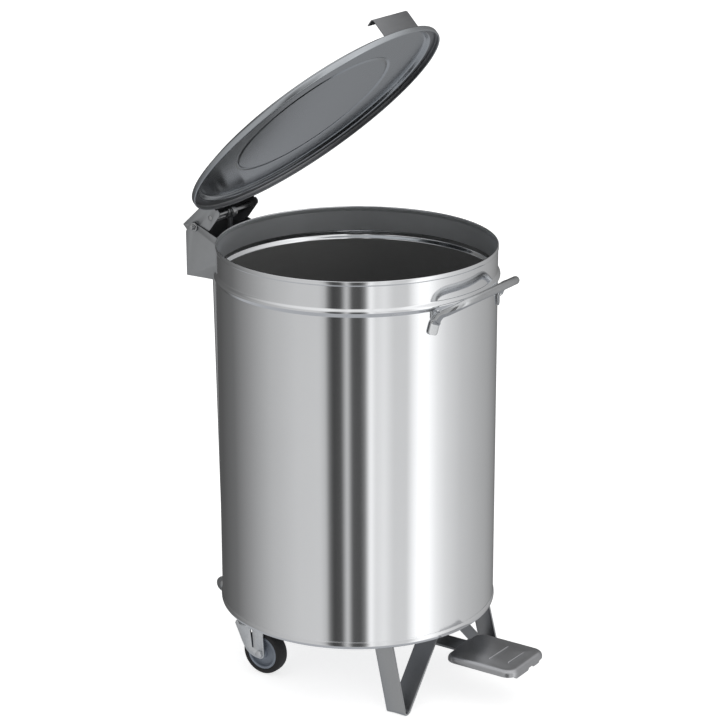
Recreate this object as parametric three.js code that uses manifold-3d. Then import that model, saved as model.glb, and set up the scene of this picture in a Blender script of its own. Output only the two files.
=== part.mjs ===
// Pedal bin on wheels: a round sheet-metal bin with a hinged lid, worked by a foot pedal through a
// lever and a pull rod. Two V feet carry the front and two swivel casters carry the back.
//
// Frame: millimetres, +Z up from the floor, pedal and handle towards -Y, lid hinge towards +Y.
// The lid stands open at rest, with the pedal pressed down.
import * as THREE from 'three';
import { mergeVertices } from 'three/addons/utils/BufferGeometryUtils.js';
import Module from 'manifold-3d';

const wasm = await Module();
wasm.setup();

// ---------------------------------------------------------------- driving dimensions
const GAP = 0.3; // clearance between touching pieces
const FRONT_TO_CENTRE = 12.6; // shift along Y that centres the whole object on the origin

const BODY_R = 229.5;
const SHEET = 1;
const FLOOR_TO_RING = 120;
const RIM_Z = 738;
const BEAD_Z = 688; // swaged bead below the rim
const BEAD_HALF = 7.5;
const BEAD_OUT = 4;
const RING_HEIGHT = 12.5; // seam between wall and bottom
const PAN_Z = FLOOR_TO_RING + 12; // underside of the bottom plate
const ROUND_STEPS = 64;

const HINGE_Y = 288.5;
const HINGE_Z = 733;
const LID_OPEN = THREE.MathUtils.degToRad(42.9);
const LID_R = 239.6;
const LID_SHEET = 1.2;

const BRACKET_HALF = 57.8; // hinge bracket, outside half width
const BRACKET_SHEET = 2;
const BRACKET_BACK = 306;
const ARM_HALF = 54.5; // lid arm, outside half width
const ARM_TOP = 750.8;
const PIN_R = 4; // every hinge and link pin
const BORE_R = 4.25;

// Link pin in the lid arm, measured from the lid hinge with the lid closed.
const LINK_R = 37;
const LINK_DROP = THREE.MathUtils.degToRad(11.8);

const STRAP = 38; // flat bar of the pedal lever
const LEVER_TOP = 76.2;
const LEVER_THICK = 4;
const LEVER_PIVOT = [20, 88]; // y, z
const ROD_FOOT = [281, 70];
const ROD_R = 4.5;

const PEDAL_HALF = 54.5;
const PEDAL_BACK = -212;
const PEDAL_FRONT = -339.5;
const PEDAL_TOP = 78.5;
const PEDAL_DEEP = 11.5;

const FOOT_WIDE = 36;
const FOOT_THICK = 4;

const WHEEL_X = 135;
const WHEEL_Y = 97;
const WHEEL_R = 38.5;
const TYRE_WIDE = 24.2;
const SWIVEL_Y = 122;
const RAIL_Z = 105; // underside of the rail that the casters bolt to

// ---------------------------------------------------------------- materials
const finish = (color, roughness, metalness) =>
  new THREE.MeshStandardMaterial({ color, roughness, metalness });
const STEEL = finish(0xb9bcbf, 0.32, 1);
const DARK_STEEL = finish(0x8a8d90, 0.4, 1);
const ZINC = finish(0xa9adb0, 0.45, 0.9);
const HUB = finish(0x5c6470, 0.5, 0);
const RUBBER = finish(0x1b1c1f, 0.75, 0);

// ---------------------------------------------------------------- solids
const X = new THREE.Vector3(1, 0, 0);
const Y = new THREE.Vector3(0, 1, 0);
const Z = new THREE.Vector3(0, 0, 1);
const basis = (a, b, c) => new THREE.Matrix4().makeBasis(a, b, c);

const outline = (points) => new THREE.Shape(points.map(([a, b]) => new THREE.Vector2(a, b)));
const extruded = (shape, depth, curveSegments = 6) =>
  new THREE.ExtrudeGeometry(shape, { depth, bevelEnabled: false, curveSegments });

// A shape drawn in (y, z) and extruded from x0 to x1.
function alongX(shape, x0, x1) {
  return extruded(shape, x1 - x0).applyMatrix4(basis(Y, Z, X)).translate(x0, 0, 0);
}

// A shape drawn in (x, y) and extruded from z0 to z1.
function alongZ(shape, z0, z1) {
  return extruded(shape, z1 - z0).translate(0, 0, z0);
}

function box([x0, y0, z0], [x1, y1, z1]) {
  const block = new THREE.BoxGeometry(x1 - x0, y1 - y0, z1 - z0);
  return block.translate((x0 + x1) / 2, (y0 + y1) / 2, (z0 + z1) / 2);
}

// One of a pair of side plates: a (y, z) shape with its outer face at x = side * outer.
function sidePlate(shape, side, outer, thickness) {
  const [a, b] = [side * outer, side * (outer - thickness)];
  return alongX(shape, Math.min(a, b), Math.max(a, b));
}

// A solid of revolution about Z; the profile lists (radius, z) up the outside and down the inside.
function turned(profile, steps = ROUND_STEPS) {
  const points = profile.map(([r, z]) => new THREE.Vector2(r, z));
  return new THREE.LatheGeometry(points, steps).rotateX(Math.PI / 2);
}

// The same about X, with (radius, x).
const turnedX = (profile, steps) => turned(profile, steps).applyMatrix4(basis(Y, Z, X));

// A round bar along X, centred on (y, z).
function barX(radius, x0, x1, y, z, steps = 16) {
  const bar = turnedX([[0, x0], [radius, x0], [radius, x1], [0, x1]], steps);
  return bar.translate(0, y, z);
}

// A round bar along Z, centred on (x, y).
function barZ(radius, z0, z1, x, y, steps = 16) {
  return turned([[0, z0], [radius, z0], [radius, z1], [0, z1]], steps).translate(x, y, 0);
}

function manifold(geometry) {
  const bare = geometry.clone();
  bare.deleteAttribute('normal');
  bare.deleteAttribute('uv');
  const merged = mergeVertices(bare, 1e-4);
  const index = merged.index.array;
  const triangles = [];
  for (let i = 0; i < index.length; i += 3) {
    const [a, b, c] = [index[i], index[i + 1], index[i + 2]];
    if (a !== b && b !== c && c !== a) triangles.push(a, b, c);
  }
  return new wasm.Manifold(new wasm.Mesh({
    numProp: 3,
    vertProperties: new Float32Array(merged.attributes.position.array),
    triVerts: new Uint32Array(triangles),
  }));
}

function geometryOf(body) {
  const mesh = body.getMesh();
  const geometry = new THREE.BufferGeometry();
  geometry.setAttribute('position', new THREE.BufferAttribute(mesh.vertProperties, 3));
  geometry.setIndex(new THREE.BufferAttribute(mesh.triVerts, 1));
  return geometry;
}

const join = (...parts) => geometryOf(parts.map(manifold).reduce((all, next) => all.add(next)));
const cut = (part, ...tools) =>
  geometryOf(tools.map(manifold).reduce((left, tool) => left.subtract(tool), manifold(part)));

// A bar with a changing section, swept through stations {at, side, up, ring}: ring lists the
// section's corners as (along side, along up), the same count at every station.
function swept(stations) {
  const count = stations[0].ring.length;
  const position = [];
  for (const { at, side, up, ring } of stations) {
    for (const [a, b] of ring) {
      position.push(...at.clone().addScaledVector(side, a).addScaledVector(up, b).toArray());
    }
  }
  const index = [];
  for (let s = 0; s + 1 < stations.length; s += 1) {
    for (let i = 0; i < count; i += 1) {
      const a = s * count + i;
      const b = s * count + ((i + 1) % count);
      index.push(a, b, b + count, a, b + count, a + count);
    }
  }
  const last = (stations.length - 1) * count;
  for (let i = 1; i + 1 < count; i += 1) {
    index.push(0, i + 1, i);
    index.push(last, last + i, last + i + 1);
  }
  const geometry = new THREE.BufferGeometry();
  geometry.setAttribute('position', new THREE.Float32BufferAttribute(position, 3));
  geometry.setIndex(index);
  return geometry;
}

const superellipse = (halfWide, halfDeep, power, steps) =>
  Array.from({ length: steps }, (_, i) => {
    const turn = (2 * Math.PI * i) / steps;
    const soft = (v) => Math.sign(v) * Math.abs(v) ** (2 / power);
    return [halfWide * soft(Math.cos(turn)), halfDeep * soft(Math.sin(turn))];
  });

function roundedRectangle(x0, y0, x1, y1, r) {
  const shape = new THREE.Shape();
  shape.moveTo(x0 + r, y0);
  shape.lineTo(x1 - r, y0).absarc(x1 - r, y0 + r, r, -Math.PI / 2, 0);
  shape.lineTo(x1, y1 - r).absarc(x1 - r, y1 - r, r, 0, Math.PI / 2);
  shape.lineTo(x0 + r, y1).absarc(x0 + r, y1 - r, r, Math.PI / 2, Math.PI);
  shape.lineTo(x0, y0 + r).absarc(x0 + r, y0 + r, r, Math.PI, 1.5 * Math.PI);
  return shape;
}

function hexagon(acrossFlats) {
  const r = acrossFlats / Math.sqrt(3);
  const corner = (i) => [r * Math.cos((i * Math.PI) / 3), r * Math.sin((i * Math.PI) / 3)];
  return outline([0, 1, 2, 3, 4, 5].map(corner));
}

// ---------------------------------------------------------------- the assembly
const bin = new THREE.Group();
bin.position.y = FRONT_TO_CENTRE;

const lid = new THREE.Group(); // turns about the lid hinge; its pieces are drawn with the lid closed
lid.position.set(0, HINGE_Y, HINGE_Z);
lid.rotation.x = -LID_OPEN;
bin.add(lid);

function add(name, geometry, material, group = bin) {
  const mesh = new THREE.Mesh(geometry, material);
  mesh.name = name;
  if (group === lid) mesh.position.set(0, -HINGE_Y, -HINGE_Z);
  group.add(mesh);
}

// The bead's height over the wall at a distance from its middle.
const beadRise = (dz) => BEAD_OUT * Math.cos((Math.PI / 2) * (dz / BEAD_HALF)) ** 1.3;
const BEAD_STEPS = [-1, -0.6, 0, 0.6, 1].map((s) => s * BEAD_HALF);

function bodyShell() {
  const inner = BODY_R - SHEET;
  const bottom = FLOOR_TO_RING + SHEET + GAP;
  const beadAt = (radius) => BEAD_STEPS.map((dz) => [radius + beadRise(dz), BEAD_Z + dz]);
  const hem = [
    [BODY_R, RIM_Z - 9],
    [BODY_R + 0.8, RIM_Z - 7],
    [BODY_R + 0.8, RIM_Z],
    [inner - 0.6, RIM_Z],
    [inner, RIM_Z - 9],
  ];
  const profile = [[BODY_R, bottom], ...beadAt(BODY_R), ...hem, ...beadAt(inner).reverse()];
  return turned([...profile, [inner, bottom], [BODY_R, bottom]]);
}

// Everything inside the body's outer surface, with a small allowance, for trimming what meets it.
function bodyEnvelope() {
  const r = BODY_R + GAP;
  const bead = [[r, BEAD_Z - BEAD_HALF - 1], [r + BEAD_OUT, BEAD_Z - 4]];
  const above = bead.map(([a, z]) => [a, 2 * BEAD_Z - z]).reverse();
  return turned([[0, 500], [r, 500], ...bead, ...above, [r, RIM_Z - 9.5], [r + 0.8, RIM_Z - 8],
    [r + 0.8, RIM_Z + 1], [0, RIM_Z + 1]]);
}

function bottomPan() {
  const seamIn = BODY_R - SHEET - 1.9;
  const seamOut = BODY_R + GAP;
  const top = FLOOR_TO_RING + RING_HEIGHT;
  const ring = FLOOR_TO_RING;
  return turned([
    [0, PAN_Z],
    [seamIn, PAN_Z],
    [seamIn, ring],
    [seamOut + SHEET, ring],
    [seamOut + SHEET, top],
    [seamOut, top],
    [seamOut, ring + SHEET],
    [seamIn + SHEET, ring + SHEET],
    [seamIn + SHEET, PAN_Z + SHEET],
    [0, PAN_Z + SHEET],
  ]);
}

// Front handle: a round bar bent to a bow, with flattened, splayed ends welded to the wall below
// the bead.
function frontHandle() {
  const tilt = THREE.MathUtils.degToRad(30);
  const wallY = -Math.sqrt(BODY_R ** 2 - 95 ** 2);
  const foot = (x, z, off) => new THREE.Vector3(x, -Math.sqrt((BODY_R + off) ** 2 - x ** 2), z);
  const bow = (x, out) =>
    new THREE.Vector3(x, wallY - 4 - out * Math.cos(tilt), 672 + out * Math.sin(tilt));
  const half = [foot(-101, 643, 2.4), foot(-98.6, 652, 2.4), foot(-96, 662, 2.9), bow(-94.5, 8),
    bow(-93.5, 22), bow(-88, 37), bow(-76, 47), bow(-58, 52), bow(-30, 54)];
  const mirrored = half.map((p) => new THREE.Vector3(-p.x, p.y, p.z)).reverse();
  const curve = new THREE.CatmullRomCurve3([...half, bow(0, 54.5), ...mirrored], false, 'centripetal');
  const steps = 40;
  const length = curve.getLength();
  const stations = Array.from({ length: steps + 1 }, (_, i) => {
    const at = curve.getPointAt(i / steps);
    const tangent = curve.getTangentAt(i / steps);
    const fromEnd = Math.min(i, steps - i) * (length / steps);
    const round = THREE.MathUtils.smoothstep(fromEnd, 16, 30);
    const outward = new THREE.Vector3(at.x, at.y, 0).normalize();
    const lean = new THREE.Vector3(0, Math.sin(tilt), Math.cos(tilt));
    const side = outward.clone().cross(tangent).lerp(lean, round);
    side.addScaledVector(tangent, -side.dot(tangent)).normalize();
    const up = new THREE.Vector3().crossVectors(tangent, side).normalize();
    const mix = (flat, full) => THREE.MathUtils.lerp(flat, full, round);
    return { at, side, up, ring: superellipse(mix(9, 6.8), mix(1.7, 6.8), mix(4, 2), 12) };
  });
  return cut(swept(stations), bodyEnvelope());
}

function lidPanel() {
  const t = LID_SHEET;
  const panel = 746; // top of the raised middle
  const flange = RIM_Z + 0.5 + t;
  return turned([
    [LID_R - 2.4, flange - 10],
    [LID_R, flange - 10],
    [LID_R, flange - 3],
    [LID_R - 3, flange],
    [226, flange],
    [221, panel - 0.8],
    [218, panel],
    [150, panel],
    [146.5, panel + 1.2],
    [143, panel],
    [0, panel],
    [0, panel - t],
    [143.4, panel - t],
    [146.5, panel + 1.2 - t],
    [149.6, panel - t],
    [217.4, panel - t],
    [220, panel - t - 0.8],
    [225.4, flange - t],
    [LID_R - 3.6, flange - t],
    [LID_R - 1.4, flange - 3.6],
    [LID_R - 1.4, flange - 8],
    [LID_R - 2.4, flange - 8],
    [LID_R - 2.4, flange - 10],
  ]);
}

// Finger tab at the lid's front edge: a plate standing on the flange, with its top folded back.
function lidGrip() {
  const t = 2;
  const face = -229.5;
  const foot = RIM_Z + 0.5 + LID_SHEET + GAP;
  const top = 774.5;
  const fold = 5;
  const shape = new THREE.Shape();
  shape.moveTo(face, foot);
  shape.lineTo(face + t, foot);
  shape.lineTo(face + t, top - fold);
  shape.absarc(face + fold, top - fold, fold - t, Math.PI, Math.PI / 2, true);
  shape.lineTo(face + 15, top - t - 2);
  shape.lineTo(face + 15.3, top - 2);
  shape.lineTo(face + fold, top);
  shape.absarc(face + fold, top - fold, fold, Math.PI / 2, Math.PI);
  return alongX(shape, -48, 48);
}

// Lid arm: a channel, open below, that straddles the hinge and runs on over the lid.
function lidArm() {
  const t = BRACKET_SHEET;
  const back = 307;
  const side = outline([[back, ARM_TOP], [252, ARM_TOP], [205, ARM_TOP - 2.4], [205, ARM_TOP - 4.4],
    [231, 731], [231, 720], [234, 716.8], [268, 711], [284, 713.5], [294, 720], [300.5, 728],
    [304.5, 738], [back, 740]]);
  const plates = [1, -1].map((s) => sidePlate(side, s, ARM_HALF, t));
  const web = alongX(outline([[back, 738], [back, ARM_TOP], [252, ARM_TOP], [222, ARM_TOP - 2.4],
    [222, ARM_TOP - 4.4], [252, ARM_TOP - t], [back - t, ARM_TOP - t], [back - t, 739.4]]), -ARM_HALF, ARM_HALF);
  const tongue = alongZ(roundedRectangle(-ARM_HALF, 176, ARM_HALF, 225, 10), ARM_TOP - 4.4, ARM_TOP - 2.4);
  const link = linkPin(0);
  const lidRoom = turned([[0, 700], [226, 700], [226, 727], [LID_R + 0.6, 727], [LID_R + 0.6, 738.5],
    [LID_R - 3, 740.6], [226.4, 740.6], [221.6, 746.4], [218, 746.4], [152, 746.4],
    [146.5, 747.6], [0, 747.6]], 128);
  return cut(join(tongue, web, ...plates), lidRoom, barX(BORE_R, -60, 60, HINGE_Y, HINGE_Z),
    barX(BORE_R, -60, 60, link.y, link.z));
}

// The link pin's place with the lid opened by an angle.
function linkPin(angle) {
  return {
    y: HINGE_Y - LINK_R * Math.cos(angle - LINK_DROP),
    z: HINGE_Z + LINK_R * Math.sin(angle - LINK_DROP),
  };
}

// One of the two collars that keep the pull rod in the middle of the link pin.
function linkCollar(x) {
  const { y, z } = linkPin(0);
  return cut(barX(7, x, x + 4, y, z), barX(BORE_R, x - 1, x + 5, y, z));
}

// Hinge bracket: a channel standing off the back of the body, with curved tabs welded to the wall.
function hingeBracket() {
  const t = BRACKET_SHEET;
  const back = BRACKET_BACK;
  const side = outline([[back, 647], [back, 723], [302, 731], [297.5, 737], [293, 739.5],
    [288, 739.6], [240, 720], [205, 708], [205, 648.5]]);
  const plates = [1, -1].map((s) => sidePlate(side, s, BRACKET_HALF, t));
  const web = box([-BRACKET_HALF, back - t, 647], [BRACKET_HALF, back, 723]);
  const wall = BODY_R + GAP;
  const tab = (s, z0, z1) => {
    const start = Math.asin((BRACKET_HALF - t) / wall);
    const end = Math.asin(88 / wall);
    const [a0, a1] = s > 0 ? [Math.PI / 2 - end, Math.PI / 2 - start] : [Math.PI / 2 + start, Math.PI / 2 + end];
    const shape = new THREE.Shape();
    shape.absarc(0, 0, wall + t, a0, a1);
    shape.absarc(0, 0, wall, a1, a0, true);
    return alongZ(shape, z0, z1);
  };
  const tabs = [1, -1].flatMap((s) => [tab(s, 649, 678), tab(s, 698, 717)]);
  const room = bodyEnvelope();
  const trimmed = cut(join(web, ...plates), room);
  const whole = join(trimmed, ...tabs);
  return cut(whole, barX(BORE_R, -70, 70, HINGE_Y, HINGE_Z));
}

// A pin along X with a low round head at its start.
function headedPin(x0, x1, y, z, headR = 7) {
  const s = Math.sign(x1 - x0);
  const head = turnedX([[0, -2.6], [headR * 0.6, -2.4], [headR, -0.8], [headR, 0], [PIN_R, 0],
    [PIN_R, Math.abs(x1 - x0)], [0, Math.abs(x1 - x0)]], 20);
  if (s < 0) head.rotateZ(Math.PI);
  return head.translate(x0, y, z);
}

// A push-on cap that holds the pin's plain end.
function pinCap(x, s, y, z) {
  const [a, b] = s > 0 ? [x, x + 4] : [x - 4, x];
  return cut(barX(7, a, b, y, z), barX(BORE_R, s > 0 ? a - 1 : a + 1, s > 0 ? b - 1 : b + 1, y, z));
}

// A push-on ring on a pin, from x to x + 2.
function pinRing(x, y, z) {
  return cut(barX(7.5, x, x + 2, y, z), barX(BORE_R, x - 1, x + 3, y, z));
}

// Pull rod: a round rod with an eye at each end, cranked forward where it enters the bracket.
function pullRod() {
  const top = linkPin(LID_OPEN);
  const point = (y, z) => new THREE.Vector3(0, y, z);
  const path = new THREE.CurvePath();
  const leg = (a, b) => path.add(new THREE.LineCurve3(a, b));
  const bend = (a, corner, b) => path.add(new THREE.QuadraticBezierCurve3(a, corner, b));
  leg(point(ROD_FOOT[0], ROD_FOOT[1]), point(290.4, 628));
  bend(point(290.4, 628), point(290.5, 640), point(284, 650));
  leg(point(284, 650), point(264, 682));
  bend(point(264, 682), point(top.y, 694), point(top.y, 706));
  leg(point(top.y, 706), point(top.y, top.z));
  const steps = [0, 0.2, 0.5, 0.75];
  const stations = [];
  path.curves.forEach((piece) => {
    const stops = piece.isLineCurve3 ? [0] : steps;
    stops.forEach((s) => stations.push([piece.getPoint(s), piece.getTangent(s)]));
  });
  stations.push([path.curves.at(-1).getPoint(1), path.curves.at(-1).getTangent(1)]);
  const ring = superellipse(ROD_R, ROD_R, 2, 12);
  const rod = swept(stations.map(([at, tangent]) => ({ at, side: X, up: tangent.clone().cross(X), ring })));
  const footEye = barX(10, -5, 5, ROD_FOOT[0], ROD_FOOT[1], 28);
  const slotR = 4.7;
  const [back, front] = [top.y + 0.3, top.y - 3.8];
  const topEye = join(barX(9, -5, 5, back, top.z, 20), barX(9, -5, 5, front, top.z, 20),
    box([-5, front, top.z - 9], [5, back, top.z + 9]));
  const slot = join(barX(slotR, -6, 6, back, top.z), barX(slotR, -6, 6, front, top.z),
    box([-6, front, top.z - slotR], [6, back, top.z + slotR]));
  return cut(join(rod, footEye, topEye), barX(BORE_R, -6, 6, ...ROD_FOOT), slot);
}

// Pedal lever: a flat bar under the bin, with lugs for its pivot and ears for the pull rod.
function pedalLever() {
  const low = LEVER_TOP - LEVER_THICK;
  const half = STRAP / 2;
  const bar = alongZ(roundedRectangle(-half, -300, half, 266, 4), low, LEVER_TOP);
  const [pivotY, pivotZ] = LEVER_PIVOT;
  const lugs = [1, -1].map((s) => {
    const lug = new THREE.Shape();
    lug.moveTo(pivotY - 14, low + 1).lineTo(pivotY + 14, low + 1);
    lug.lineTo(pivotY + 9, pivotZ).absarc(pivotY, pivotZ, 9, 0, Math.PI);
    return sidePlate(lug, s, half, 3);
  });
  const ears = [1, -1].map((s) => {
    const ear = new THREE.Shape();
    ear.moveTo(232, low).lineTo(257, ROD_FOOT[1] - 12.5);
    ear.absarc(ROD_FOOT[0], ROD_FOOT[1], 14, -Math.PI / 2, Math.PI / 2);
    ear.lineTo(257, ROD_FOOT[1] + 12.5).lineTo(232, LEVER_TOP);
    return sidePlate(ear, s, 9, 3);
  });
  const notch = box([-6, 260, 50], [6, 300, 90]);
  return cut(join(cut(bar, notch), ...lugs, ...ears), barX(BORE_R, -30, 30, pivotY, pivotZ),
    barX(BORE_R, -30, 30, ...ROD_FOOT));
}

// Pedal: a pressed plate with turned-down edges, two raised ribs and a notched front lip.
function pedalPlate() {
  const deep = PEDAL_TOP - PEDAL_DEEP;
  const t = 2;
  const outer = roundedRectangle(-PEDAL_HALF, PEDAL_FRONT, PEDAL_HALF, PEDAL_BACK, 14);
  const inner = roundedRectangle(-PEDAL_HALF + t, PEDAL_FRONT + t, PEDAL_HALF - t, PEDAL_BACK + 30, 12);
  const ribs = [[-275, 27], [-309, 22]].map(([y, half]) => {
    const rib = turnedX([[0, -half], [1.4, -half + 1.5], [2.2, -half + 4], [2.2, half - 4],
      [1.4, half - 1.5], [0, half]], 12);
    return rib.translate(0, y, PEDAL_TOP + 0.3);
  });
  const notches = [box([-8, PEDAL_FRONT - 1, deep - 1], [8, PEDAL_FRONT + 12, deep + 6]),
    box([-PEDAL_HALF - 1, PEDAL_FRONT + 8, deep - 1], [-PEDAL_HALF + 3, PEDAL_FRONT + 14, deep + 7]),
    box([PEDAL_HALF - 3, PEDAL_FRONT + 8, deep - 1], [PEDAL_HALF + 1, PEDAL_FRONT + 14, deep + 7])];
  const plate = cut(alongZ(outer, deep, PEDAL_TOP), alongZ(inner, deep - 1, PEDAL_TOP - t), ...notches);
  return join(plate, ...ribs);
}

// Bracket under the bottom plate that carries the lever's pivot.
function leverBracket() {
  const [pivotY, pivotZ] = LEVER_PIVOT;
  const top = PAN_Z - GAP;
  const half = STRAP / 2 + 1 + 2.5;
  const web = box([-half, pivotY - 20, top - 2.5], [half, pivotY + 20, top]);
  const cheeks = [1, -1].map((s) => {
    const cheek = new THREE.Shape();
    cheek.moveTo(pivotY - 20, top).lineTo(pivotY - 10, pivotZ);
    cheek.absarc(pivotY, pivotZ, 10, Math.PI, 2 * Math.PI);
    cheek.lineTo(pivotY + 20, top);
    return sidePlate(cheek, s, half, 2.5);
  });
  return cut(join(web, ...cheeks), barX(BORE_R, -40, 40, pivotY, pivotZ));
}

// Front foot: a flat bar folded to a V, with a tab at each end welded under the bottom plate.
function frontFoot(s) {
  const weld = PAN_Z - GAP - FOOT_THICK / 2;
  const low = FOOT_THICK / 2;
  // x, z and the bar's centre in y, from the outer tab round the point to the inner tab
  const line = [[112, weld, -145], [138, weld, -145], [143, weld - 2, -145.5], [145, weld - 7, -147],
    [147.4, 14, -172.5], [147, 8, -174], [145, 3.8, -175], [142.4, low, -175.5], [137.6, low, -175.5],
    [134, 3.8, -175.4], [131, 8, -175.2], [20, weld - 8, -168.5], [15, weld - 4, -168.2],
    [9, weld - 0.6, -168], [2, weld, -168]];
  const centre = line.map(([x, z, y]) => new THREE.Vector3(s * x, y, z));
  const stations = centre.map((at, i) => {
    const before = centre[Math.max(i - 1, 0)];
    const after = centre[Math.min(i + 1, centre.length - 1)];
    const flat = (v) => new THREE.Vector3(v.x, 0, v.z).normalize();
    const into = i > 0 ? flat(at.clone().sub(before)) : flat(after.clone().sub(at));
    const out = i + 1 < centre.length ? flat(after.clone().sub(at)) : into;
    const along = into.clone().add(out).normalize();
    const half = FOOT_THICK / 2 / Math.max(along.dot(into), 0.5);
    const wide = FOOT_WIDE / 2;
    const ring = [[-wide, -half], [wide, -half], [wide, half], [-wide, half]];
    return { at, side: Y, up: along.clone().cross(Y), ring };
  });
  return swept(stations);
}

// Rail across the bottom plate that both casters bolt to.
function casterRail() {
  const [x, y0, y1] = [160, SWIVEL_Y - 24, SWIVEL_Y + 24];
  const top = PAN_Z - GAP;
  const trough = box([-x - 1, y0 + 2, RAIL_Z + 2], [x + 1, y1 - 2, top + 1]);
  const holes = [1, -1].map((s) => barZ(5.3, RAIL_Z - 1, RAIL_Z + 3, s * WHEEL_X, SWIVEL_Y));
  return cut(box([-x, y0, RAIL_Z], [x, y1, top]), trough, ...holes);
}

// ---------------------------------------------------------------- caster, drawn about its wheel
const AXLE = [WHEEL_Y, WHEEL_R];
const FORK_TOP = 88;
const FORK_OUT = 17.2; // outside of the fork's legs from the wheel's middle
const FORK_SHEET = 2.5;

const swivelHead = (x) => cut(
  turned([[0, RAIL_Z - 3.5], [8, RAIL_Z - 3.5], [8, RAIL_Z - GAP], [12, RAIL_Z - GAP],
    [24, RAIL_Z - 2.5], [27, RAIL_Z - 6], [27, FORK_TOP + 4], [24, FORK_TOP + 1], [24, FORK_TOP + 0.4],
    [0, FORK_TOP + 0.4]].reverse(), 28).translate(x, SWIVEL_Y, 0),
  barZ(5.3, 60, 120, x, SWIVEL_Y),
);

function fork(x) {
  const t = FORK_SHEET;
  const leg = new THREE.Shape();
  leg.moveTo(91, FORK_TOP - 1).lineTo(90, 70).lineTo(88.2, AXLE[1]);
  leg.absarc(AXLE[0], AXLE[1], 8.8, Math.PI, 1.5 * Math.PI);
  leg.quadraticCurveTo(118, 30, 127, 43).quadraticCurveTo(133, 52, 138, 64);
  leg.lineTo(147.5, FORK_TOP - 4).lineTo(146, FORK_TOP - 1);
  const legs = [1, -1].map((s) => sidePlate(leg, s, FORK_OUT, t));
  const crown = join(barZ(25.5, FORK_TOP - t, FORK_TOP, 0, SWIVEL_Y, 28),
    box([-FORK_OUT, 91, FORK_TOP - t], [FORK_OUT, 146, FORK_TOP]));
  const slot = new THREE.Shape();
  slot.moveTo(109.6, 50).absarc(111.2, 48.6, 1.6, Math.PI, 2 * Math.PI);
  slot.lineTo(116.2, 77).absarc(114.2, 77.6, 2, 0, Math.PI);
  const whole = cut(join(crown, ...legs), barZ(5.3, 70, 100, 0, SWIVEL_Y), barX(BORE_R, -30, 30, ...AXLE),
    alongX(slot, -30, 30));
  return whole.translate(x, 0, 0);
}

const hexBolt = (x, s) => {
  const head = extruded(hexagon(12), 4).applyMatrix4(basis(Y, Z, X));
  const bolt = join(head.translate(-FORK_OUT - 4.2, 0, 0), barX(PIN_R, -FORK_OUT - 1, FORK_OUT + 7, 0, 0));
  if (s > 0) bolt.rotateZ(Math.PI);
  return bolt.translate(x, ...AXLE);
};

const axleNut = (x, s) => {
  const nut = extruded(hexagon(12), 5).applyMatrix4(basis(Y, Z, X)).translate(FORK_OUT + GAP, 0, 0);
  const bored = cut(nut, barX(BORE_R, 10, 30, 0, 0));
  if (s > 0) bored.rotateZ(Math.PI);
  return bored.translate(x, ...AXLE);
};

const axleSleeve = (x) => cut(barX(6, -14.2, 14.2, ...AXLE), barX(BORE_R, -20, 20, ...AXLE))
  .translate(x, 0, 0);

const wheelHub = (x) => turnedX([[6.3, -13.2], [11, -13.2], [12, -5], [24, -4], [25.5, -11],
  [28.9, -11.4], [28.9, 11.4], [25.5, 11], [24, 4], [12, 5], [11, 13.2], [6.3, 13.2], [6.3, -13.2]], 32)
  .translate(x, ...AXLE);

function tyre(x) {
  const half = TYRE_WIDE / 2;
  return turnedX([[29.2, -11.4], [31, -half], [35, -half], [37.6, -half + 2], [WHEEL_R, -half + 6],
    [WHEEL_R, half - 6], [37.6, half - 2], [35, half], [31, half], [29.2, 11.4], [29.2, -11.4]], 40)
    .translate(x, ...AXLE);
}

const kingBolt = (x) => join(barZ(9, FORK_TOP - FORK_SHEET - GAP - 5, FORK_TOP - FORK_SHEET - GAP, x, SWIVEL_Y, 6),
  barZ(5, FORK_TOP - 6, RAIL_Z + 13, x, SWIVEL_Y));

const kingNut = (x) => cut(barZ(9, RAIL_Z + 2 + GAP, RAIL_Z + 10, x, SWIVEL_Y, 6),
  barZ(5.3, RAIL_Z, RAIL_Z + 12, x, SWIVEL_Y));

// ---------------------------------------------------------------- build
add('body_shell', bodyShell(), STEEL);
add('bottom_pan', bottomPan(), STEEL);
add('front_handle', frontHandle(), STEEL);
add('hinge_bracket', hingeBracket(), STEEL);
add('hinge_pin', headedPin(BRACKET_HALF + GAP, -BRACKET_HALF - 10, HINGE_Y, HINGE_Z), DARK_STEEL);
add('hinge_pin_ring', pinRing(-BRACKET_HALF - GAP - 2, HINGE_Y, HINGE_Z), DARK_STEEL);
add('lid_panel', lidPanel(), STEEL, lid);
add('lid_grip', lidGrip(), STEEL, lid);
add('lid_arm', lidArm(), STEEL, lid);
const closedLink = linkPin(0);
add('link_pin', barX(PIN_R, -ARM_HALF, ARM_HALF, closedLink.y, closedLink.z), DARK_STEEL, lid);
add('link_collar_left', linkCollar(-9.5), DARK_STEEL, lid);
add('link_collar_right', linkCollar(5.5), DARK_STEEL, lid);
add('pull_rod', pullRod(), DARK_STEEL);
add('rod_pin', headedPin(-9.3, 12, ...ROD_FOOT), DARK_STEEL);
add('rod_pin_cap', pinCap(9.3, 1, ...ROD_FOOT), DARK_STEEL);
add('pedal_lever', pedalLever(), STEEL);
add('pedal_plate', pedalPlate(), STEEL);
add('lever_bracket', leverBracket(), STEEL);
add('lever_pin', headedPin(-22.8, 25.5, ...LEVER_PIVOT), DARK_STEEL);
add('lever_pin_cap', pinCap(22.8, 1, ...LEVER_PIVOT), DARK_STEEL);
add('front_foot_left', frontFoot(-1), STEEL);
add('front_foot_right', frontFoot(1), STEEL);
add('caster_rail', casterRail(), STEEL);
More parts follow.
